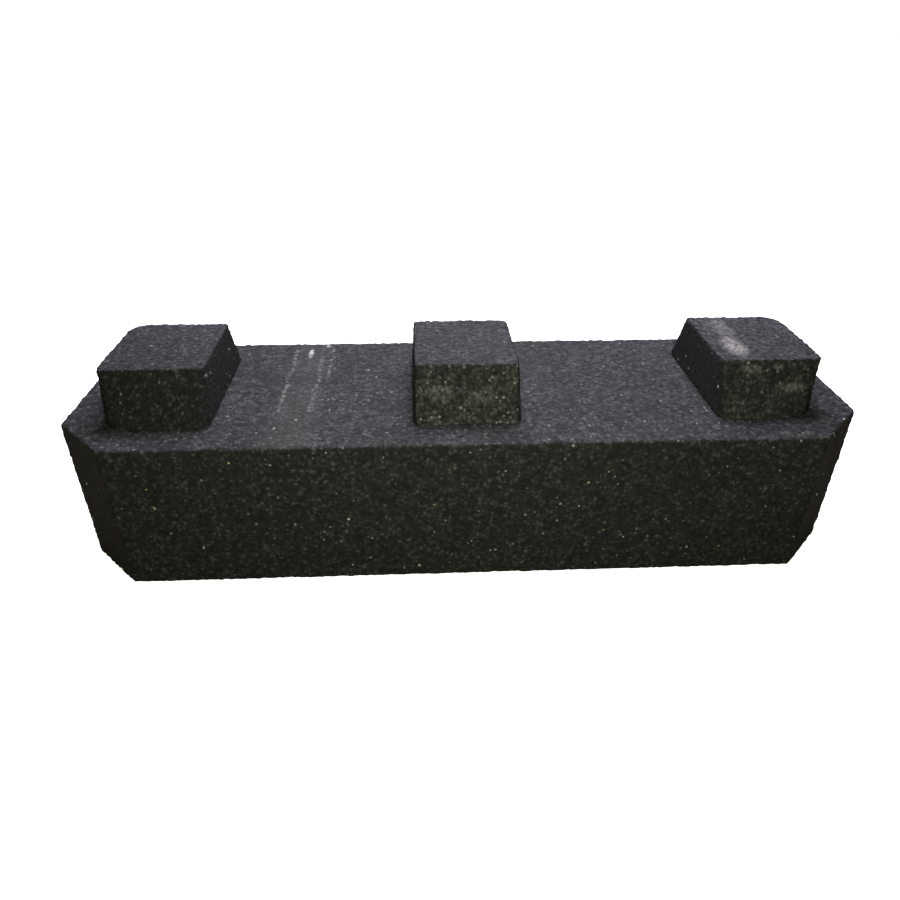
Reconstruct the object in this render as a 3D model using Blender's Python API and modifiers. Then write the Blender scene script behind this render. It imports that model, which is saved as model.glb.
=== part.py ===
"""Backless street bench made of black rubber crumb bound with polyurethane.

A long moulded block carries three stub feet, each bonded on with its own thin bed of adhesive.
The bench lies on its seat face, so its feet point up. X runs along the bench, Y across it and
+Z from the seat face towards the feet. The origin is the centre of the seat face.
"""

import math

import bmesh
import bpy

# Driving dimensions, in metres
BENCH_LENGTH = 1.50
BENCH_DEPTH = 0.45
BENCH_HEIGHT = 0.40
BLOCK_HEIGHT = 0.30
CORNER_CUT = 0.10  # 45 degree cut across each upright corner of the block
BLOCK_ROUNDING = 0.005

FOOT_SPACING = 0.574  # from the centre foot to each end foot
FOOT_BASE = (0.201, 0.310)  # length and depth where the foot meets its adhesive
FOOT_END = (0.192, 0.210)  # length and depth of the face that stands on the ground
FOOT_ROUNDING = 0.004
CRISP_CORNER = (0.018, 0.007)  # corner radius at the base, and at the end face
WORN_CORNER = (0.050, 0.012)  # an end foot's outer front corner
BROAD_CORNER = (0.055, 0.035)  # an end foot's outer back corner

ADHESIVE_BED = 0.002
ADHESIVE_INSET = 0.008
GAP = 0.0003  # between faces that touch

ARC_STEPS = 5  # facets round a foot's corner
ROUNDING_STEPS = 3  # facets across a rounded edge

foot_height = BENCH_HEIGHT - BLOCK_HEIGHT - ADHESIVE_BED


def clear_scene():
    for old in list(bpy.data.objects):
        bpy.data.objects.remove(old, do_unlink=True)


def make_material(name, colour, roughness):
    material = bpy.data.materials.new(name)
    material.use_nodes = True
    shader = material.node_tree.nodes["Principled BSDF"]
    shader.inputs["Base Color"].default_value = (*colour, 1.0)
    shader.inputs["Roughness"].default_value = roughness
    shader.inputs["Metallic"].default_value = 0.0
    material.diffuse_color = (*colour, 1.0)
    return material


def place(obj, collection, parent, material):
    """Moves a new object into the bench's collection, under its empty, with its material."""
    for other in list(obj.users_collection):
        other.objects.unlink(obj)
    collection.objects.link(obj)
    obj.parent = parent
    obj.data.materials.clear()
    obj.data.materials.append(material)
    return obj


def rounded_outline(size, radii, z):
    """Points of a rectangle with four rounded corners, counter-clockwise from the front left.

    radii holds the front left, front right, back right and back left corner radius.
    """
    half_x, half_y = size[0] / 2, size[1] / 2
    corners = ((-half_x, -half_y), (half_x, -half_y), (half_x, half_y), (-half_x, half_y))
    points = []
    for turn, ((corner_x, corner_y), radius) in enumerate(zip(corners, radii)):
        centre_x = corner_x - math.copysign(radius, corner_x)
        centre_y = corner_y - math.copysign(radius, corner_y)
        for step in range(ARC_STEPS + 1):
            angle = math.radians(180 + 90 * (turn + step / ARC_STEPS))
            x = centre_x + radius * math.cos(angle)
            y = centre_y + radius * math.sin(angle)
            points.append((x, y, z))
    return points


def inset_outline(size, radii, inset, z):
    """The outline that runs inside rounded_outline at a constant distance."""
    inner_size = [side - 2 * inset for side in size]
    inner_radii = [radius - inset for radius in radii]
    return rounded_outline(inner_size, inner_radii, z)


def loft(name, outlines):
    """A closed solid through outlines that hold the same number of points, lowest first."""
    shape = bmesh.new()
    rings = [[shape.verts.new(point) for point in outline] for outline in outlines]
    for lower, upper in zip(rings, rings[1:]):
        for start in range(len(lower)):
            end = (start + 1) % len(lower)
            shape.faces.new((lower[start], lower[end], upper[end], upper[start]))
    shape.faces.new(reversed(rings[0]))
    shape.faces.new(rings[-1])
    mesh = bpy.data.meshes.new(name)
    shape.to_mesh(mesh)
    shape.free()
    mesh.shade_smooth()
    mesh.set_sharp_from_angle(angle=math.radians(25))
    obj = bpy.data.objects.new(name, mesh)
    bpy.context.scene.collection.objects.link(obj)
    return obj


def make_block(name):
    """The seat block: a box whose upright corners are cut at 45 degrees."""
    bpy.ops.mesh.primitive_cube_add(size=1, location=(0, 0, BLOCK_HEIGHT / 2))
    block = bpy.context.object
    block.name = block.data.name = name
    block.scale = (BENCH_LENGTH, BENCH_DEPTH, BLOCK_HEIGHT)
    bpy.ops.object.transform_apply(location=False, rotation=False, scale=True)

    shape = bmesh.new()
    shape.from_mesh(block.data)
    upright = [e for e in shape.edges if abs(e.verts[0].co.z - e.verts[1].co.z) > BLOCK_HEIGHT / 2]
    bmesh.ops.bevel(shape, geom=upright, offset=CORNER_CUT, segments=1, affect="EDGES")
    shape.to_mesh(block.data)
    shape.free()

    rounding = block.modifiers.new("rounding", "BEVEL")
    rounding.width = BLOCK_ROUNDING
    rounding.segments = ROUNDING_STEPS
    rounding.limit_method = "ANGLE"
    rounding.angle_limit = math.radians(30)
    return block


def corner_radii(side):
    """(base, end face) radii of a foot's corners. side is -1 left, 0 centre and 1 right."""
    crisp, front, back = CRISP_CORNER, WORN_CORNER, BROAD_CORNER
    by_side = {
        -1: (front, crisp, crisp, back),
        0: (crisp, crisp, crisp, crisp),
        1: (crisp, front, back, crisp),
    }
    return zip(*by_side[side])


def make_foot(name, side):
    """A stub foot: front and back slope in, and the rim of its end face is rounded."""
    base_radii, end_radii = corner_radii(side)
    shoulder = (foot_height - FOOT_ROUNDING) / foot_height
    base_z = GAP
    outlines = [rounded_outline(FOOT_BASE, base_radii, base_z)]
    shoulder_size = [low + (high - low) * shoulder for low, high in zip(FOOT_BASE, FOOT_END)]
    shoulder_radii = [low + (high - low) * shoulder for low, high in zip(base_radii, end_radii)]
    for step in range(ROUNDING_STEPS + 1):
        angle = math.radians(90 * step / ROUNDING_STEPS)
        inset = FOOT_ROUNDING * (1 - math.cos(angle))
        z = foot_height - FOOT_ROUNDING * (1 - math.sin(angle))
        outlines.append(inset_outline(shoulder_size, shoulder_radii, inset, z))
    foot = loft(name, outlines)
    foot.location = (side * FOOT_SPACING, 0, BLOCK_HEIGHT + ADHESIVE_BED)
    return foot


def make_adhesive_bed(name, side):
    """The thin layer of binder that holds a foot, kept back from the foot's edge."""
    base_radii, _ = corner_radii(side)
    heights = (GAP - ADHESIVE_BED, 0)
    outlines = [inset_outline(FOOT_BASE, base_radii, ADHESIVE_INSET, z) for z in heights]
    bed = loft(name, outlines)
    bed.location = (side * FOOT_SPACING, 0, BLOCK_HEIGHT + ADHESIVE_BED)
    return bed


def main():
    clear_scene()
    collection = bpy.data.collections.new("backless_bench")
    bpy.context.scene.collection.children.link(collection)
    frame = bpy.data.objects.new("bench_frame", None)
    collection.objects.link(frame)

    block_rubber = make_material("block_rubber", (0.018, 0.018, 0.019), 0.92)
    foot_rubber = make_material("foot_rubber", (0.020, 0.020, 0.021), 0.92)
    adhesive = make_material("adhesive", (0.030, 0.024, 0.016), 0.45)

    place(make_block("seat_block"), collection, frame, block_rubber)
    for word, side in (("left", -1), ("centre", 0), ("right", 1)):
        place(make_adhesive_bed(f"{word}_foot_adhesive", side), collection, frame, adhesive)
        place(make_foot(f"{word}_foot", side), collection, frame, foot_rubber)


main()
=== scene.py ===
"""Looks of the backless bench: black rubber crumb pressed with binder, lying on its seat face.

Each rubber piece is regrown as a crumbly mesh from its own solid, gets a sprinkle of pale crumbs
pressed into its skin and a procedural crumb material. The adhesive shows as a thin squeezed bead.
"""

import math
import random

import bpy
from mathutils import Matrix, Vector


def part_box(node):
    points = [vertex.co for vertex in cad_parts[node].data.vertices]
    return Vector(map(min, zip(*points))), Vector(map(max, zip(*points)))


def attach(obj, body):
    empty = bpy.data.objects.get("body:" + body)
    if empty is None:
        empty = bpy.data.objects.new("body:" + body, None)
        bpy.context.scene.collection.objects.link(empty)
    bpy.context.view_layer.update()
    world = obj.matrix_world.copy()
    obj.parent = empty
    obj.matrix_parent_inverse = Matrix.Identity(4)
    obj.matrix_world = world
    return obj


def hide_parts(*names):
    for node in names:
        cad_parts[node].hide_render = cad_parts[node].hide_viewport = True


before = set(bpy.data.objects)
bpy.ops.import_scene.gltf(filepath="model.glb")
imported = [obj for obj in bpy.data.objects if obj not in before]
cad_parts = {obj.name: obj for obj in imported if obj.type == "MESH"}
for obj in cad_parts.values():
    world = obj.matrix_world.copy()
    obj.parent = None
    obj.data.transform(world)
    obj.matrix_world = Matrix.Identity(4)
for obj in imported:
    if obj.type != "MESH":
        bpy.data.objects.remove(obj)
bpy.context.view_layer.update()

# Lengths are in metres
CRUMB_WIDTH = 0.0036  # an ordinary crumb
CRUMB_RELIEF = 0.0010
CLUMP_WIDTH = 0.011  # a cluster of crumbs that stands a little high or low
CLUMP_RELIEF = 0.0015
SWAY_WIDTH = 0.16  # how far apart the mould's slow swells are
SWAY_RELIEF = 0.0012
BREAK_WIDTH = 0.009  # a run of crumbs broken away from an edge
RIM_REACH = 0.012  # how far from an edge crumbs have broken away
RIM_LOSS = 0.0017

WORN_FEET = {"left_foot": (-1, 0.005), "right_foot": (1, 0.012)}  # side and depth worn off
WORN_PLACE = (0.6755, -0.1525, 0.314)  # low on an end foot's outer front corner
WORN_HEIGHT = 0.028
WORN_REACH = 0.095
GUIDE_RADIUS = 0.0005

PALE_PER_SQUARE_METRE = 280
PALE_RADIUS = (0.0018, 0.0034)
PALE_STRETCH = (0.8, 1.25)
PALE_PATTERNS = 6
PALE_SEED = 11

BEAD_GROWTH = 0.0165  # how much longer and wider a bead is than its bed
BEAD_SWELL = 2.2  # how many times thicker
BEAD_GRID = 0.0016
BEAD_OOZE = 0.0030

CRUMB_BEND = 0.006  # how far the material's crumbs are bent out of true

block_low, block_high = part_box("seat_block")
foot_low, foot_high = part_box("right_foot")
block_top = block_high.z
foot_top = foot_high.z


def deselect():
    bpy.ops.object.select_all(action="DESELECT")


def activate(obj):
    deselect()
    obj.select_set(True)
    bpy.context.view_layer.objects.active = obj


def apply_modifiers(obj):
    activate(obj)
    for modifier in list(obj.modifiers):
        bpy.ops.object.modifier_apply(modifier=modifier.name)


# ---------------------------------------------------------------- camera, lights and floor


def aim(obj, target):
    obj.rotation_euler = (Vector(target) - obj.location).to_track_quat("-Z", "Y").to_euler()


CAMERA_LENS = 28.47  # millimetres, as is the sensor
CAMERA_SENSOR = 36.0
CAMERA_PLACE = (-0.0882, -1.2883, 0.9655)
CAMERA_PITCH = math.radians(32.34)  # below level
CAMERA_HEADING = -0.0490
CAMERA_LEAN = 0.0058


def set_camera():
    data = bpy.data.cameras.new("camera")
    data.lens = CAMERA_LENS
    data.sensor_width = CAMERA_SENSOR
    camera = bpy.data.objects.new("camera", data)
    bpy.context.scene.collection.objects.link(camera)
    heading = Matrix.Rotation(CAMERA_HEADING, 4, "Z")
    pitch = Matrix.Rotation(math.pi / 2 - CAMERA_PITCH, 4, "X")
    lean = Matrix.Rotation(CAMERA_LEAN, 4, "Z")
    camera.matrix_world = Matrix.Translation(CAMERA_PLACE) @ (heading @ pitch) @ lean
    bpy.context.scene.camera = camera


LIT_CENTRE = (0.0, 0.0, 0.25)
BACKDROP = ((1.0, 1.0, 1.0, 1.0), 1.1)  # colour and strength, as the camera sees it
AMBIENT = ((1.0, 1.0, 0.80, 1.0), 0.03)  # what lights the bench from all round
FLOOR_SHADE = (0.9, 0.9, 0.9, 1.0)
FLOOR_LIFT = 1.0  # glow that keeps the floor white round the bench
FLOOR_BOUNCE = (0.16, 0.16, 0.13, 1.0)  # what the floor throws back at the bench


def softbox(name, place, size, watts, tint):
    data = bpy.data.lights.new(name, "AREA")
    data.shape = "RECTANGLE"
    data.size, data.size_y = size
    data.energy = watts
    data.color = tint
    light = bpy.data.objects.new(name, data)
    light.location = place
    light.visible_camera = False
    bpy.context.scene.collection.objects.link(light)
    aim(light, LIT_CENTRE)


def background(tree, colour, strength):
    node = tree.nodes.new("ShaderNodeBackground")
    node.inputs["Color"].default_value = colour
    node.inputs["Strength"].default_value = strength
    return node.outputs["Background"]


def light_studio():
    world = bpy.data.worlds.new("studio")
    bpy.context.scene.world = world
    world.use_nodes = True
    tree = world.node_tree
    tree.nodes.clear()
    out = tree.nodes.new("ShaderNodeOutputWorld")
    path = tree.nodes.new("ShaderNodeLightPath")
    choose = tree.nodes.new("ShaderNodeMixShader")
    tree.links.new(path.outputs["Is Camera Ray"], choose.inputs["Fac"])
    tree.links.new(background(tree, *AMBIENT), choose.inputs[1])
    tree.links.new(background(tree, *BACKDROP), choose.inputs[2])
    tree.links.new(choose.outputs["Shader"], out.inputs["Surface"])

    for name, place, size, watts, tint in (
        ("back_sky", (0.12, 1.70, 2.90), (1.9, 1.3), 170, (0.84, 0.84, 1.0)),
        ("back_sheen", (0.20, 3.20, 1.70), (1.2, 0.9), 28, (0.93, 0.92, 1.0)),
        ("front_fill", (0.0, -1.15, 0.85), (0.5, 0.4), 11.5, (0.97, 1.0, 0.79)),
    ):
        softbox(name, place, size, watts, tint)
    bpy.context.scene.view_settings.view_transform = "Standard"


def lay_floor():
    """A floor that the camera sees white, darker only where the bench shades it."""
    bpy.ops.mesh.primitive_plane_add(size=60, location=(0, 0, block_low.z))
    floor = bpy.context.object
    floor.name = "studio_floor"
    material = bpy.data.materials.new("studio_floor")
    material.use_nodes = True
    tree = material.node_tree
    tree.nodes.clear()
    out = tree.nodes.new("ShaderNodeOutputMaterial")
    shadowed = tree.nodes.new("ShaderNodeBsdfDiffuse")
    shadowed.inputs["Color"].default_value = FLOOR_SHADE
    bounce = tree.nodes.new("ShaderNodeBsdfDiffuse")
    bounce.inputs["Color"].default_value = FLOOR_BOUNCE
    lift = tree.nodes.new("ShaderNodeEmission")
    lift.inputs["Strength"].default_value = FLOOR_LIFT
    bright = tree.nodes.new("ShaderNodeAddShader")
    path = tree.nodes.new("ShaderNodeLightPath")
    choose = tree.nodes.new("ShaderNodeMixShader")
    tree.links.new(shadowed.outputs["BSDF"], bright.inputs[0])
    tree.links.new(lift.outputs["Emission"], bright.inputs[1])
    tree.links.new(path.outputs["Is Camera Ray"], choose.inputs["Fac"])
    tree.links.new(bounce.outputs["BSDF"], choose.inputs[1])
    tree.links.new(bright.outputs["Shader"], choose.inputs[2])
    tree.links.new(choose.outputs["Shader"], out.inputs["Surface"])
    floor.data.materials.append(material)


# ---------------------------------------------------------------- shader node groups


def new_group(name, inputs, outputs):
    """A shader node group, with the nodes where its values enter and leave.

    inputs holds (name, default) pairs, and a default of None makes a vector. Outputs are numbers.
    """
    group = bpy.data.node_groups.new(name, "ShaderNodeTree")
    for label, default in inputs:
        if default is None:
            group.interface.new_socket(label, in_out="INPUT", socket_type="NodeSocketVector")
        else:
            socket = group.interface.new_socket(
                label, in_out="INPUT", socket_type="NodeSocketFloat"
            )
            socket.default_value = default
    for label in outputs:
        group.interface.new_socket(label, in_out="OUTPUT", socket_type="NodeSocketFloat")
    entry = group.nodes.new("NodeGroupInput")
    leave = group.nodes.new("NodeGroupOutput")
    return group, entry, leave


def math_node(tree, operation, first, second=None, third=None, clamp=False):
    node = tree.nodes.new("ShaderNodeMath")
    node.operation = operation
    node.use_clamp = clamp
    for socket, value in zip(node.inputs, (first, second, third)):
        if value is None:
            continue
        if isinstance(value, (int, float)):
            socket.default_value = value
        else:
            tree.links.new(value, socket)
    return node.outputs[0]


def ramp_down(tree, value, start, end):
    """1 below start, 0 above end, smooth between."""
    node = tree.nodes.new("ShaderNodeMapRange")
    node.interpolation_type = "SMOOTHSTEP"
    for label, setting in (("From Min", start), ("From Max", end)):
        if isinstance(setting, (int, float)):
            node.inputs[label].default_value = setting
        else:
            tree.links.new(setting, node.inputs[label])
    node.inputs["To Min"].default_value = 1.0
    node.inputs["To Max"].default_value = 0.0
    tree.links.new(value, node.inputs["Value"])
    return node.outputs["Result"]


def cloud_pattern(tree, coords, scale, detail):
    node = tree.nodes.new("ShaderNodeTexNoise")
    node.inputs["Scale"].default_value = scale
    node.inputs["Detail"].default_value = detail
    tree.links.new(coords, node.inputs["Vector"])
    return node


def cell_pattern(tree, coords, scale):
    """Cells of one crumb each. scale is a socket, with the number of cells in a metre."""
    node = tree.nodes.new("ShaderNodeTexVoronoi")
    tree.links.new(coords, node.inputs["Vector"])
    tree.links.new(scale, node.inputs["Scale"])
    return node


def crumb_grain_group():
    """Packed crumbs: a tone for each crumb, the gaps between them, which the rubber darkens as
    painted shade, and their height.
    """
    group, entry, leave = new_group(
        "crumb_grain",
        [("Vector", None), ("Crumbs per Metre", 280.0), ("Gap Width", 0.12)],
        ["Tone", "Gap", "Height"],
    )
    warp = cloud_pattern(group, entry.outputs["Vector"], 160.0, 1.0)
    push = group.nodes.new("ShaderNodeVectorMath")
    push.operation = "MULTIPLY_ADD"
    group.links.new(warp.outputs["Color"], push.inputs[0])
    push.inputs[1].default_value = (CRUMB_BEND, CRUMB_BEND, CRUMB_BEND)
    group.links.new(entry.outputs["Vector"], push.inputs[2])

    cells = cell_pattern(group, push.outputs["Vector"], entry.outputs["Crumbs per Metre"])
    walls = cell_pattern(group, push.outputs["Vector"], entry.outputs["Crumbs per Metre"])
    walls.feature = "DISTANCE_TO_EDGE"

    chance = group.nodes.new("ShaderNodeSeparateColor")
    group.links.new(cells.outputs["Color"], chance.inputs["Color"])
    near_middle = ramp_down(group, cells.outputs["Distance"], 0.10, 0.75)
    rounded = math_node(group, "MULTIPLY_ADD", near_middle, 0.75, 0.25)
    tone = math_node(group, "MULTIPLY", chance.outputs["Red"], rounded)
    group.links.new(tone, leave.inputs["Tone"])
    gap = ramp_down(group, walls.outputs["Distance"], 0.0, entry.outputs["Gap Width"])
    deep = math_node(group, "MULTIPLY", gap, chance.outputs["Green"])
    group.links.new(deep, leave.inputs["Gap"])
    dome = math_node(group, "SUBTRACT", 1.0, cells.outputs["Distance"])
    lifted = math_node(group, "MULTIPLY_ADD", chance.outputs["Blue"], 0.7, dome)
    height = math_node(group, "MULTIPLY_ADD", gap, -0.6, lifted)
    group.links.new(height, leave.inputs["Height"])
    return group


def pale_fleck_group():
    """A few crumbs in each thousand are pale: a soft spot in those cells, and its shade."""
    group, entry, leave = new_group(
        "pale_fleck",
        [("Vector", None), ("Cells per Metre", 220.0), ("Share", 0.01), ("Radius", 0.42)],
        ["Mask", "Shade"],
    )
    cells = cell_pattern(group, entry.outputs["Vector"], entry.outputs["Cells per Metre"])
    chance = group.nodes.new("ShaderNodeSeparateColor")
    group.links.new(cells.outputs["Color"], chance.inputs["Color"])
    chosen = math_node(group, "LESS_THAN", chance.outputs["Red"], entry.outputs["Share"])
    rim = math_node(group, "MULTIPLY", entry.outputs["Radius"], 0.55)
    spot = ramp_down(group, cells.outputs["Distance"], rim, entry.outputs["Radius"])
    mask = math_node(group, "MULTIPLY", chosen, spot)
    group.links.new(mask, leave.inputs["Mask"])
    group.links.new(chance.outputs["Green"], leave.inputs["Shade"])
    return group


def rubbed_streak_group():
    """A rubbed streak along Y: a soft-edged band that breaks up over the crumbs."""
    group, entry, leave = new_group(
        "rubbed_streak",
        [
            ("Vector", None),
            ("Place", 0.0),
            ("Half Width", 0.006),
            ("Front", -0.1),
            ("Back", 0.2),
            ("Wander", 0.01),
            ("Breaks", 0.5),
        ],
        ["Mask"],
    )
    axes = group.nodes.new("ShaderNodeSeparateXYZ")
    group.links.new(entry.outputs["Vector"], axes.inputs["Vector"])
    sway = group.nodes.new("ShaderNodeTexNoise")
    sway.noise_dimensions = "1D"
    sway.inputs["Scale"].default_value = 14.0
    sway.inputs["Detail"].default_value = 1.0
    shifted = math_node(group, "ADD", axes.outputs["Y"], entry.outputs["Place"])
    group.links.new(shifted, sway.inputs["W"])
    swing = math_node(group, "SUBTRACT", sway.outputs["Fac"], 0.5)
    wander = math_node(group, "MULTIPLY", swing, entry.outputs["Wander"])
    off = math_node(group, "SUBTRACT", axes.outputs["X"], entry.outputs["Place"])
    off = math_node(group, "SUBTRACT", off, wander)
    off = math_node(group, "ABSOLUTE", off)
    inner = math_node(group, "MULTIPLY", entry.outputs["Half Width"], 0.3)
    band = ramp_down(group, off, inner, entry.outputs["Half Width"])
    past_back = math_node(group, "SUBTRACT", axes.outputs["Y"], entry.outputs["Back"])
    past_front = math_node(group, "SUBTRACT", entry.outputs["Front"], axes.outputs["Y"])
    past = math_node(group, "MAXIMUM", past_back, past_front)
    within = ramp_down(group, past, -0.02, 0.01)
    patches = cloud_pattern(group, entry.outputs["Vector"], 95.0, 3.0)
    kept = group.nodes.new("ShaderNodeMapRange")
    kept.interpolation_type = "SMOOTHSTEP"
    group.links.new(patches.outputs["Fac"], kept.inputs["Value"])
    low = math_node(group, "MULTIPLY", entry.outputs["Breaks"], 0.55)
    high = math_node(group, "ADD", low, 0.22)
    group.links.new(low, kept.inputs["From Min"])
    group.links.new(high, kept.inputs["From Max"])
    mask = math_node(group, "MULTIPLY", band, within)
    mask = math_node(group, "MULTIPLY", mask, kept.outputs["Result"])
    group.links.new(mask, leave.inputs["Mask"])
    return group


def dust_sheen_shade_masks_group():
    """Where dust settles: Up on faces turned up, where painted sheen is laid as well, Front on
    faces turned to the front.

    Ends is no dust: it marks the faces turned to either end, where the feet's rubber is darkened
    as painted shade and the block's turns a warmer brown.
    """
    group, entry, leave = new_group(
        "dust_sheen_shade_masks",
        [("Vector", None), ("Normal", None), ("Patch Scale", 9.0)],
        ["Up", "Front", "Ends"],
    )
    axes = group.nodes.new("ShaderNodeSeparateXYZ")
    group.links.new(entry.outputs["Normal"], axes.inputs["Vector"])
    patches = group.nodes.new("ShaderNodeTexNoise")
    patches.inputs["Detail"].default_value = 3.0
    group.links.new(entry.outputs["Vector"], patches.inputs["Vector"])
    group.links.new(entry.outputs["Patch Scale"], patches.inputs["Scale"])
    amount = math_node(group, "MULTIPLY_ADD", patches.outputs["Fac"], 1.8, 0.1)
    clear_of_top = ramp_down(group, axes.outputs["Z"], 0.55, 0.95)
    up = math_node(group, "SUBTRACT", 1.0, clear_of_top)
    group.links.new(math_node(group, "MULTIPLY", up, amount), leave.inputs["Up"])
    front = ramp_down(group, axes.outputs["Y"], -0.85, -0.55)
    group.links.new(math_node(group, "MULTIPLY", front, amount), leave.inputs["Front"])
    sideways = math_node(group, "ABSOLUTE", axes.outputs["X"])
    plain = ramp_down(group, sideways, 0.50, 0.75)
    group.links.new(math_node(group, "SUBTRACT", 1.0, plain), leave.inputs["Ends"])
    return group


def rubbed_blot_group():
    """A soft-edged rubbed patch round a point, broken up over the crumbs."""
    group, entry, leave = new_group(
        "rubbed_blot",
        [("Vector", None), ("Centre", None), ("Reach", None), ("Breaks", 0.5)],
        ["Mask"],
    )
    away = group.nodes.new("ShaderNodeVectorMath")
    away.operation = "SUBTRACT"
    group.links.new(entry.outputs["Vector"], away.inputs[0])
    group.links.new(entry.outputs["Centre"], away.inputs[1])
    scaled = group.nodes.new("ShaderNodeVectorMath")
    scaled.operation = "DIVIDE"
    group.links.new(away.outputs["Vector"], scaled.inputs[0])
    group.links.new(entry.outputs["Reach"], scaled.inputs[1])
    length = group.nodes.new("ShaderNodeVectorMath")
    length.operation = "LENGTH"
    group.links.new(scaled.outputs["Vector"], length.inputs[0])
    round_patch = ramp_down(group, length.outputs["Value"], 0.1, 1.0)
    patches = cloud_pattern(group, entry.outputs["Vector"], 110.0, 3.0)
    holes = math_node(group, "SUBTRACT", 1.0, patches.outputs["Fac"])
    holes = math_node(group, "MULTIPLY", holes, entry.outputs["Breaks"])
    mask = math_node(group, "SUBTRACT", round_patch, holes)
    mask = math_node(group, "MULTIPLY", mask, 1.4, clamp=True)
    group.links.new(mask, leave.inputs["Mask"])
    return group


crumb_grain = crumb_grain_group()
pale_fleck = pale_fleck_group()
rubbed_streak = rubbed_streak_group()
dust_sheen_shade_masks = dust_sheen_shade_masks_group()
rubbed_blot = rubbed_blot_group()


def use_group(tree, group, vector, **values):
    node = tree.nodes.new("ShaderNodeGroup")
    node.node_tree = group
    tree.links.new(vector, node.inputs["Vector"])
    for label, value in values.items():
        node.inputs[label.replace("_", " ")].default_value = value
    return node


def blend_colour(tree, mask, under, over):
    """over laid on under where mask is 1. mask is a socket, the others sockets or RGB triples."""
    node = tree.nodes.new("ShaderNodeMix")
    node.data_type = "RGBA"
    for index, value in ((0, mask), (6, under), (7, over)):
        if isinstance(value, tuple):
            node.inputs[index].default_value = (*value, 1.0)
        else:
            tree.links.new(value, node.inputs[index])
    return node.outputs[2]


def new_material(name):
    """A material, with its node tree, its Principled BSDF and its texture coordinates."""
    material = bpy.data.materials.new(name)
    material.use_nodes = True
    tree = material.node_tree
    return material, tree, tree.nodes["Principled BSDF"], tree.nodes.new("ShaderNodeTexCoord")


def add_bump(tree, shader, height, strength, distance):
    bump = tree.nodes.new("ShaderNodeBump")
    bump.inputs["Strength"].default_value = strength
    bump.inputs["Distance"].default_value = distance
    tree.links.new(height, bump.inputs["Height"])
    tree.links.new(bump.outputs["Normal"], shader.inputs["Normal"])


# ---------------------------------------------------------------- materials

# Colours are linear RGB
BLACK = (0.0115, 0.0115, 0.0112)
# gap colour: painted shade in the hollows between crumbs
GAP_SHADE = (0.003, 0.003, 0.003)
GREY = (0.20, 0.203, 0.189)
RUBBED = (0.20, 0.195, 0.19)
SMUDGE = (0.16, 0.158, 0.145)
SCRAPED = (0.62, 0.62, 0.58)
CHALKED = (0.36, 0.33, 0.31)
OLIVE_FILM = (0.115, 0.116, 0.098)
WARM_END = (0.080, 0.067, 0.054)
# painted shade: darkens the feet's faces turned to the bench's ends
SIDE_SHADE = (0.013, 0.013, 0.0135)
# settled dust on faces turned up, and painted sheen that lightens the upper faces with a bluish
# cast
TOP_DUST_AND_SHEEN = (0.30, 0.29, 0.33)
FRONT_DUST = (0.27, 0.28, 0.24)
DULL_FLECK = (0.20, 0.21, 0.17)
PALE_FLECK = (0.42, 0.42, 0.37)
# binder colours, also painted shadow: kept this dark to stand in for the contact shadow along
# each foot's base
BINDER_AND_SHADOW_BLACK = (0.004, 0.004, 0.004)
BINDER_AMBER = (0.014, 0.012, 0.009)

CRUMBS_PER_METRE = 260.0
CLUSTERS_PER_METRE = 125.0
DUST_PATCHES_PER_METRE = 7.0


def crumb_colour(tree, coords, crumbs, clusters):
    """Black to grey crumbs, with how pale each is, in broad uneven patches."""
    mottle = cloud_pattern(tree, coords, 105.0, 2.0)
    soft = math_node(tree, "MULTIPLY_ADD", mottle.outputs["Fac"], 1.0, -0.15)
    tone = math_node(tree, "MULTIPLY", crumbs.outputs["Tone"], 0.22)
    tone = math_node(tree, "MULTIPLY_ADD", clusters.outputs["Tone"], 0.42, tone)
    paleness = math_node(tree, "MULTIPLY_ADD", soft, 0.50, tone)
    tone = math_node(tree, "POWER", paleness, 2.4)
    patches = cloud_pattern(tree, coords, 22.0, 3.0)
    uneven = math_node(tree, "MULTIPLY_ADD", patches.outputs["Fac"], 1.7, 0.15)
    tone = math_node(tree, "MULTIPLY", tone, uneven, clamp=True)
    return blend_colour(tree, tone, BLACK, GREY), paleness


def lay_dust_and_sheen(tree, colour, dust_sheen_shade, paleness, top_dust_and_sheen, front_dust):
    """Dust that gathers on the paler crumbs and leaves the darkest bare; on faces turned up the
    veil is painted sheen as well.
    """
    raised = math_node(tree, "MULTIPLY_ADD", paleness, 4.0, -0.54)
    raised = math_node(tree, "MAXIMUM", raised, 0.0)
    for side, amount, tint in (("Up", top_dust_and_sheen, TOP_DUST_AND_SHEEN), ("Front", front_dust, FRONT_DUST)):
        if not amount:
            continue
        veil = math_node(tree, "MULTIPLY", dust_sheen_shade.outputs[side], amount)
        veil = math_node(tree, "MULTIPLY", veil, raised, clamp=True)
        colour = blend_colour(tree, veil, colour, tint)
    return colour


def scatter_flecks(tree, coords, colour):
    """Small pale crumbs level with the surface, in a dull and a brighter kind."""
    for share, cells, tint, strength in (
        (0.008, 200.0, DULL_FLECK, 0.80),
        (0.003, 160.0, PALE_FLECK, 0.90),
    ):
        fleck = use_group(tree, pale_fleck, coords, Cells_per_Metre=cells, Share=share)
        shade = math_node(tree, "MULTIPLY_ADD", fleck.outputs["Shade"], 0.7, 0.3)
        mask = math_node(tree, "MULTIPLY", fleck.outputs["Mask"], strength)
        mask = math_node(tree, "MULTIPLY", mask, shade)
        colour = blend_colour(tree, mask, colour, tint)
    return colour


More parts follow.
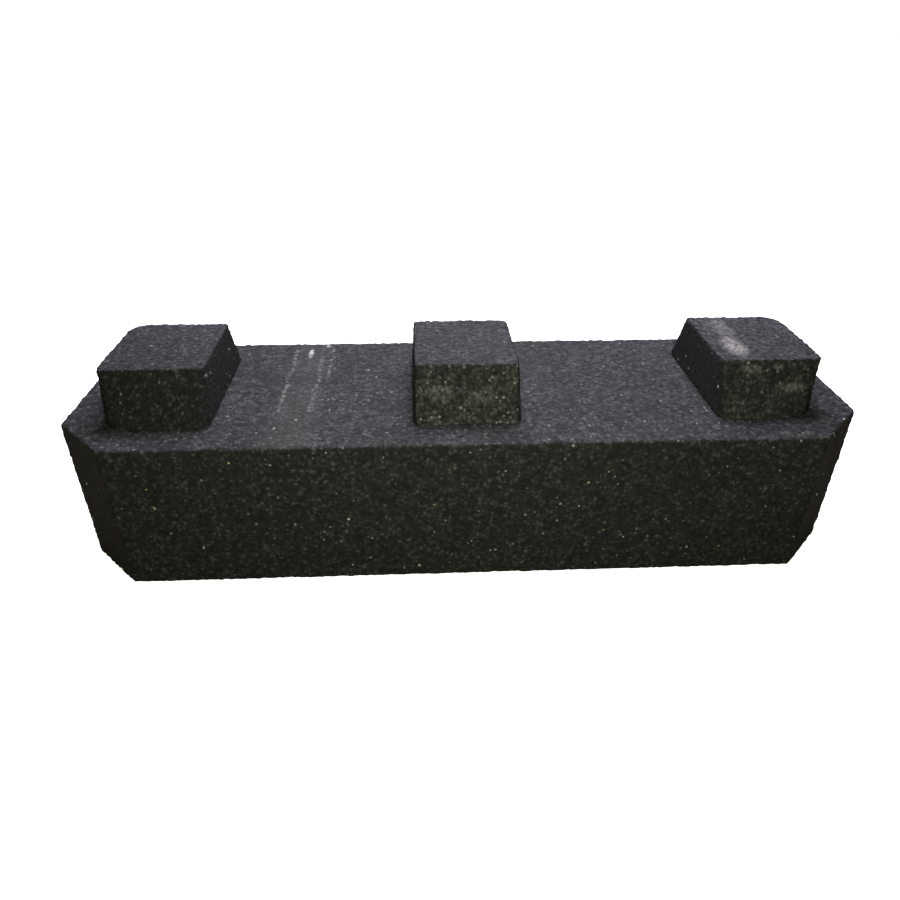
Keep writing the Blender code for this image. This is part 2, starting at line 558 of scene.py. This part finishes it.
def speckle_front(tree, coords, colour, dust_sheen_shade, share):
    """Dusty crumbs on the face turned to the front."""
    spots = use_group(tree, pale_fleck, coords, Cells_per_Metre=150.0, Share=share, Radius=0.5)
    mask = math_node(tree, "MULTIPLY", spots.outputs["Mask"], spots.outputs["Shade"])
    mask = math_node(tree, "MULTIPLY", mask, dust_sheen_shade.outputs["Front"], clamp=True)
    return blend_colour(tree, mask, colour, FRONT_DUST)


def spread_film(tree, coords, colour, dust_sheen_shade, place, half_width, share):
    """A broad dull film across the upper face, centred at place along the bench."""
    greasy = use_group(
        tree,
        rubbed_streak,
        coords,
        Place=place,
        Half_Width=half_width,
        Breaks=0.1,
        Front=-1.0,
        Back=1.0,
    )
    mask = math_node(tree, "MULTIPLY", greasy.outputs["Mask"], dust_sheen_shade.outputs["Up"])
    mask = math_node(tree, "MULTIPLY", mask, share, clamp=True)
    return blend_colour(tree, mask, colour, OLIVE_FILM)


def rub_marks(tree, coords, colour, paleness, streaks, blots):
    """Streaks and blots, strongest on the paler crumbs."""
    held = math_node(tree, "MULTIPLY_ADD", paleness, 2.8, -0.25)
    for pattern, marks in ((rubbed_streak, streaks), (rubbed_blot, blots)):
        for settings, tint in marks:
            mark = use_group(tree, pattern, coords, **settings)
            mask = math_node(tree, "MULTIPLY", mark.outputs["Mask"], held, clamp=True)
            colour = blend_colour(tree, mask, colour, tint)
    return colour


def rubber_material(
    name, top_dust_and_sheen, front_dust=0.0, speckles=0.0, ends=None, film=None, streaks=(), blots=()
):
    """Crumb rubber, with dust, painted sheen on faces turned up, painted shade in the gaps
    between crumbs and on the feet's end faces, and with the marks of one piece.

    ends is (share, colour) of the faces turned to the bench's ends, film is (place, half width,
    share), and streaks and blots hold (settings of their group, colour) pairs.
    """
    material, tree, shader, place = new_material(name)
    coords = place.outputs["Object"]
    crumbs = use_group(
        tree, crumb_grain, coords, Crumbs_per_Metre=CRUMBS_PER_METRE, Gap_Width=0.14
    )
    clusters = use_group(
        tree, crumb_grain, coords, Crumbs_per_Metre=CLUSTERS_PER_METRE, Gap_Width=0.10
    )
    dust_sheen_shade = use_group(tree, dust_sheen_shade_masks, coords, Patch_Scale=DUST_PATCHES_PER_METRE)
    tree.links.new(place.outputs["Normal"], dust_sheen_shade.inputs["Normal"])

    colour, paleness = crumb_colour(tree, coords, crumbs, clusters)
    colour = lay_dust_and_sheen(tree, colour, dust_sheen_shade, paleness, top_dust_and_sheen, front_dust)
    # painted shade in the gaps between crumbs
    gap = math_node(tree, "MULTIPLY", crumbs.outputs["Gap"], 0.6)
    colour = blend_colour(tree, gap, colour, GAP_SHADE)
    colour = scatter_flecks(tree, coords, colour)
    if speckles:
        colour = speckle_front(tree, coords, colour, dust_sheen_shade, speckles)
    # on the feet this darkening of the end-facing faces is painted shade
    if ends:
        share, tint = ends
        end_faces = math_node(tree, "MULTIPLY", dust_sheen_shade.outputs["Ends"], share)
        colour = blend_colour(tree, end_faces, colour, tint)
    if film:
        colour = spread_film(tree, coords, colour, dust_sheen_shade, *film)
    colour = rub_marks(tree, coords, colour, paleness, streaks, blots)
    tree.links.new(colour, shader.inputs["Base Color"])

    rough = math_node(tree, "MULTIPLY_ADD", crumbs.outputs["Tone"], 0.25, 0.68)
    tree.links.new(rough, shader.inputs["Roughness"])
    shader.inputs["Specular IOR Level"].default_value = 0.20
    height = math_node(tree, "MULTIPLY", crumbs.outputs["Height"], 0.5)
    height = math_node(tree, "MULTIPLY_ADD", clusters.outputs["Height"], 0.8, height)
    add_bump(tree, shader, height, strength=0.9, distance=0.0016)
    return material


PALE_SHADES = (  # each from this share of the crumbs on
    (0.00, (0.09, 0.095, 0.08, 1.0)),
    (0.50, (0.17, 0.17, 0.14, 1.0)),
    (0.74, (0.30, 0.30, 0.26, 1.0)),
    (0.87, (0.66, 0.66, 0.60, 1.0)),
    (0.96, (0.56, 0.52, 0.22, 1.0)),
)
CRUMB_DIRT = (0.05, 0.05, 0.04)
CRUMB_DUST = (0.15, 0.145, 0.165)


def pale_crumb_material():
    """Grey, cream and a few yellow crumbs, dirty and dusty on top."""
    material, tree, shader, place = new_material("pale_crumb")
    coords = place.outputs["Object"]
    pick = tree.nodes.new("ShaderNodeTexVoronoi")
    pick.inputs["Scale"].default_value = 110.0
    tree.links.new(coords, pick.inputs["Vector"])
    chance = tree.nodes.new("ShaderNodeSeparateColor")
    tree.links.new(pick.outputs["Color"], chance.inputs["Color"])
    spread = tree.nodes.new("ShaderNodeValToRGB")
    spread.color_ramp.interpolation = "CONSTANT"
    stops = spread.color_ramp.elements
    (_, darkest), *middling, (yellow_from, yellow) = PALE_SHADES
    stops[0].color = darkest
    stops[1].position = yellow_from
    stops[1].color = yellow
    for position, shade in middling:
        stops.new(position).color = shade
    tree.links.new(chance.outputs["Red"], spread.inputs["Fac"])
    grit = cloud_pattern(tree, coords, 900.0, 2.0)
    dirt = math_node(tree, "MULTIPLY", grit.outputs["Fac"], 0.35)
    speckled = blend_colour(tree, dirt, spread.outputs["Color"], CRUMB_DIRT)
    dust_sheen_shade = use_group(tree, dust_sheen_shade_masks, coords, Patch_Scale=DUST_PATCHES_PER_METRE)
    tree.links.new(place.outputs["Normal"], dust_sheen_shade.inputs["Normal"])
    veil = math_node(tree, "MULTIPLY", dust_sheen_shade.outputs["Up"], 0.6, clamp=True)
    speckled = blend_colour(tree, veil, speckled, CRUMB_DUST)
    tree.links.new(speckled, shader.inputs["Base Color"])
    rough = math_node(tree, "MULTIPLY_ADD", grit.outputs["Fac"], 0.2, 0.65)
    tree.links.new(rough, shader.inputs["Roughness"])
    add_bump(tree, shader, grit.outputs["Fac"], strength=0.5, distance=0.0004)
    return material


def adhesive_and_shadow_material():
    """Cured binder, almost black with an amber cast, with crumbs stuck in it; the darkness is
    also painted shadow, standing in for the contact shadow at each foot's base.
    """
    material, tree, shader, place = new_material("binder_and_shadow_bead")
    coords = place.outputs["Object"]
    crumbs = use_group(tree, crumb_grain, coords, Crumbs_per_Metre=340.0, Gap_Width=0.2)
    colour = blend_colour(tree, crumbs.outputs["Tone"], BINDER_AND_SHADOW_BLACK, BINDER_AMBER)
    tree.links.new(colour, shader.inputs["Base Color"])
    rough = math_node(tree, "MULTIPLY_ADD", crumbs.outputs["Tone"], 0.35, 0.35)
    tree.links.new(rough, shader.inputs["Roughness"])
    add_bump(tree, shader, crumbs.outputs["Height"], strength=0.6, distance=0.001)
    return material


# ---------------------------------------------------------------- crumb meshes


def clouds(name, width, **settings):
    """A relief pattern whose swells are about width across."""
    made = bpy.data.textures.new(name, "CLOUDS")
    made.noise_scale = width
    for label, value in settings.items():
        setattr(made, label, value)
    return made


SWAY = clouds("mould_sway", SWAY_WIDTH, noise_depth=1)
CLUMPS = clouds("clumps", CLUMP_WIDTH, noise_depth=1)
CRUMBS = clouds("crumbs", CRUMB_WIDTH, noise_depth=0, noise_basis="CELL_NOISE")
BREAKS = clouds("breaks", BREAK_WIDTH, noise_depth=1, contrast=2.5, intensity=1.3)


def cage_from(node, name):
    """A clean copy of a CAD solid: doubles merged and the flat faces' diagonals dissolved."""
    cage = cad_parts[node].copy()
    cage.data = cage.data.copy()
    cage.name = cage.data.name = name
    for key in list(cage.keys()):
        del cage[key]
    cage.parent = None
    cage.data.materials.clear()
    bpy.context.scene.collection.objects.link(cage)
    activate(cage)
    bpy.ops.object.mode_set(mode="EDIT")
    bpy.ops.mesh.select_all(action="SELECT")
    bpy.ops.mesh.remove_doubles(threshold=0.00002)
    bpy.ops.mesh.dissolve_limited(angle_limit=math.radians(2))
    bpy.ops.object.mode_set(mode="OBJECT")
    return cage


def displace(obj, name, pattern, strength, level, group=""):
    """Moves obj's surface out where the pattern is above level, and in where it is below."""
    modifier = obj.modifiers.new(name, "DISPLACE")
    modifier.texture = pattern
    modifier.texture_coords = "LOCAL"
    modifier.strength = strength
    modifier.mid_level = level
    modifier.vertex_group = group


def crumble(node, name, halvings, fill):
    """The crumb skin of a rubber piece: regridded, uneven, and worn along its edges.

    Its grid starts as a cube of the piece's longest side over fill, and is halved halvings times.
    """
    skin = cage_from(node, name)
    guide = skin.copy()
    guide.data = skin.data.copy()
    bpy.context.scene.collection.objects.link(guide)

    regrid = skin.modifiers.new("regrid", "REMESH")
    regrid.mode = "SHARP"
    regrid.octree_depth = halvings
    regrid.scale = fill
    regrid.use_remove_disconnected = False
    apply_modifiers(skin)

    rim = skin.vertex_groups.new(name="rim")
    rim.add(range(len(skin.data.vertices)), 1.0, "REPLACE")
    nearness = skin.modifiers.new("rim", "VERTEX_WEIGHT_PROXIMITY")
    nearness.vertex_group = "rim"
    nearness.target = guide
    nearness.proximity_mode = "GEOMETRY"
    nearness.proximity_geometry = {"EDGE"}
    nearness.min_dist = RIM_REACH
    nearness.max_dist = 0.0
    displace(skin, "sway", SWAY, SWAY_RELIEF, 0.1)
    displace(skin, "clumps", CLUMPS, CLUMP_RELIEF, 0.1)
    displace(skin, "crumbs", CRUMBS, CRUMB_RELIEF, 0.4)
    displace(skin, "rim loss", BREAKS, RIM_LOSS, 1.0, "rim")
    apply_modifiers(skin)
    bpy.data.objects.remove(guide, do_unlink=True)
    skin.data.shade_smooth()
    return skin


def wear_corner(piece, side, depth):
    """Crumbs worn off low on an end foot's outer front corner: the corner moves inward."""
    along, across, up = WORN_PLACE
    bpy.ops.mesh.primitive_cylinder_add(
        vertices=3,
        radius=GUIDE_RADIUS,
        depth=WORN_HEIGHT,
        location=(side * along, across, up),
    )
    guide = bpy.context.object
    corner = piece.vertex_groups.new(name="worn corner")
    corner.add(range(len(piece.data.vertices)), 1.0, "REPLACE")
    nearness = piece.modifiers.new("worn corner", "VERTEX_WEIGHT_PROXIMITY")
    nearness.vertex_group = "worn corner"
    nearness.target = guide
    nearness.proximity_mode = "GEOMETRY"
    nearness.proximity_geometry = {"EDGE"}
    nearness.min_dist = WORN_REACH
    nearness.max_dist = 0.0
    for axis, sense in (("X", -side), ("Y", 1)):
        shift = piece.modifiers.new(f"worn {axis}", "DISPLACE")
        shift.direction = axis
        shift.strength = depth * sense
        shift.mid_level = 0.0
        shift.vertex_group = "worn corner"
    apply_modifiers(piece)
    bpy.data.objects.remove(guide, do_unlink=True)


def crumb_patterns():
    """A few lumpy pale crumbs, flattened, that the sprinkled ones are copied from."""
    patterns = []
    for seed in range(PALE_PATTERNS):
        bpy.ops.mesh.primitive_ico_sphere_add(subdivisions=1, radius=1.0)
        pattern = bpy.context.object
        bpy.ops.object.mode_set(mode="EDIT")
        bpy.ops.mesh.select_all(action="SELECT")
        bpy.ops.transform.vertex_random(offset=0.22, seed=seed)
        bpy.ops.transform.resize(value=(1.0, 0.95, 0.5))
        bpy.ops.object.mode_set(mode="OBJECT")
        patterns.append(pattern)
    return patterns


def pale_crumbs(skin, name, count, seed, material):
    """Pale crumbs pressed into a skin, joined as one piece."""
    draw = random.Random(seed)
    patterns = crumb_patterns()
    faces = list(skin.data.polygons)
    areas = [face.area for face in faces]
    made = []
    for face in draw.choices(faces, areas, k=count):
        pattern = draw.choice(patterns)
        crumb = pattern.copy()
        crumb.data = pattern.data.copy()
        bpy.context.scene.collection.objects.link(crumb)
        width = draw.uniform(*PALE_RADIUS)
        length = width * draw.uniform(*PALE_STRETCH)
        stretch = Matrix.Diagonal((length, width, width, 1.0))
        turn = face.normal.to_track_quat("Z", "Y").to_matrix().to_4x4()
        spin = Matrix.Rotation(draw.uniform(0, math.tau), 4, "Z")
        crumb.matrix_world = Matrix.Translation(face.center) @ turn @ spin @ stretch
        made.append(crumb)
    for pattern in patterns:
        bpy.data.objects.remove(pattern, do_unlink=True)
    deselect()
    for crumb in made:
        crumb.select_set(True)
    bpy.context.view_layer.objects.active = made[0]
    bpy.ops.object.join()
    joined = bpy.context.object
    bpy.ops.object.transform_apply(location=True, rotation=True, scale=True)
    joined.name = joined.data.name = name
    joined.data.materials.append(material)
    return joined


def squeezed_bead(node, name, material):
    """The adhesive bed, swollen to where it squeezes out round the foot."""
    bead = cage_from(node, name)
    bpy.ops.object.mode_set(mode="EDIT")
    bpy.ops.mesh.select_all(action="SELECT")
    low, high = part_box(node)
    middle = (low + high) / 2
    size = high - low
    growth = (1 + BEAD_GROWTH / size.x, 1 + BEAD_GROWTH / size.y, BEAD_SWELL)
    bpy.ops.transform.resize(value=growth, center_override=middle)
    bpy.ops.object.mode_set(mode="OBJECT")
    regrid = bead.modifiers.new("regrid", "REMESH")
    regrid.mode = "VOXEL"
    regrid.voxel_size = BEAD_GRID
    displace(bead, "ooze", CLUMPS, BEAD_OOZE, 0.5)
    soften = bead.modifiers.new("soften", "SMOOTH")
    soften.iterations = 2
    apply_modifiers(bead)
    bead.data.shade_smooth()
    bead.data.materials.append(material)
    return bead


# ---------------------------------------------------------------- marks of each piece

FOOT_FRONT = -0.105  # Y of a foot's front edge at its end face
FOOT_SPREAD = 0.05  # how much further out its front is at the base
foot_slope = FOOT_SPREAD / (foot_high.z - foot_low.z)


def streak(place, half_width, front, back, wander, breaks):
    return {
        "Place": place,
        "Half_Width": half_width,
        "Front": front,
        "Back": back,
        "Wander": wander,
        "Breaks": breaks,
    }


def blot(centre, reach, breaks):
    return {"Centre": centre, "Reach": reach, "Breaks": breaks}


def on_front(along, drop):
    """A point on a foot's sloping front face, drop below its end face."""
    return (along, FOOT_FRONT - drop * foot_slope, foot_top - drop)


block_streaks = [
    (streak(-0.357, 0.0060, -0.10, 0.20, 0.020, 0.66), RUBBED),
    (streak(-0.298, 0.0065, -0.10, 0.16, 0.016, 0.68), RUBBED),
    (streak(-0.277, 0.0050, 0.03, 0.20, 0.010, 0.68), RUBBED),
]
block_blots = [
    (blot((-0.325, 0.172, block_top), (0.0085, 0.034, 0.03), 0.12), SCRAPED),
    (blot((-0.290, 0.210, block_top), (0.010, 0.018, 0.03), 0.85), SCRAPED),
]
foot_blots = [
    (blot((0.530, 0.040, foot_top), (0.032, 0.140, 0.04), 0.50), RUBBED),
    (blot((0.521, -0.046, foot_top), (0.036, 0.072, 0.04), 0.34), CHALKED),
    (blot(on_front(0.530, 0.014), (0.030, 0.03, 0.014), 0.40), SMUDGE),
    (blot(on_front(0.582, 0.011), (0.016, 0.03, 0.010), 0.40), SMUDGE),
    (blot(on_front(0.612, 0.046), (0.062, 0.03, 0.017), 0.60), SMUDGE),
]
centre_blots = [
    (blot(on_front(-0.050, 0.046), (0.060, 0.03, 0.045), 1.15), SMUDGE),
    (blot(on_front(0.030, 0.050), (0.075, 0.03, 0.045), 1.30), SMUDGE),
]

# ---------------------------------------------------------------- the bench

deselect()
set_camera()
light_studio()
lay_floor()
deselect()

block_rubber = rubber_material(
    "block_rubber",
    top_dust_and_sheen=0.082,
    front_dust=0.01,
    ends=(0.65, WARM_END),
    film=(-0.325, 0.065, 0.20),
    streaks=block_streaks,
    blots=block_blots,
)
# the feet's end-facing faces get painted shade
end_foot_rubber = rubber_material("end_foot_rubber", top_dust_and_sheen=0.066, ends=(0.75, SIDE_SHADE))
centre_foot_rubber = rubber_material(
    "centre_foot_rubber",
    top_dust_and_sheen=0.070,
    front_dust=0.085,
    speckles=0.20,
    ends=(0.75, SIDE_SHADE),
    blots=centre_blots,
)
rubbed_foot_rubber = rubber_material(
    "rubbed_foot_rubber",
    top_dust_and_sheen=0.106,
    front_dust=0.055,
    ends=(0.75, SIDE_SHADE),
    blots=foot_blots,
)
pale = pale_crumb_material()
binder_and_shadow = adhesive_and_shadow_material()

for number, (node, halvings, fill, material, slot) in enumerate(
    (
        ("seat_block", 8, 0.99, block_rubber, "block_rubber"),
        ("left_foot", 7, 0.95, end_foot_rubber, "foot_rubber"),
        ("centre_foot", 7, 0.95, centre_foot_rubber, "foot_rubber"),
        ("right_foot", 7, 0.95, rubbed_foot_rubber, "foot_rubber"),
    )
):
    skin = crumble(node, f"{node}_crumb_skin", halvings, fill)
    if node in WORN_FEET:
        wear_corner(skin, *WORN_FEET[node])
    skin.data.materials.append(material)
    area = sum(face.area for face in skin.data.polygons)
    count = round(area * PALE_PER_SQUARE_METRE)
    crumbs = pale_crumbs(skin, f"{node}_pale_crumbs", count, PALE_SEED + number, pale)
    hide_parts(node)
    for piece in (skin, crumbs):
        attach(piece, "root")
    print(node, len(skin.data.polygons), "faces", count, "pale crumbs")

for foot in ("left_foot", "centre_foot", "right_foot"):
    node = f"{foot}_adhesive"
    bead = squeezed_bead(node, f"{node}_bead", binder_and_shadow)
    if foot in WORN_FEET:
        wear_corner(bead, *WORN_FEET[foot])
    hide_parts(node)
    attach(bead, "root")
    print(node, len(bead.data.polygons), "faces")

deselect()
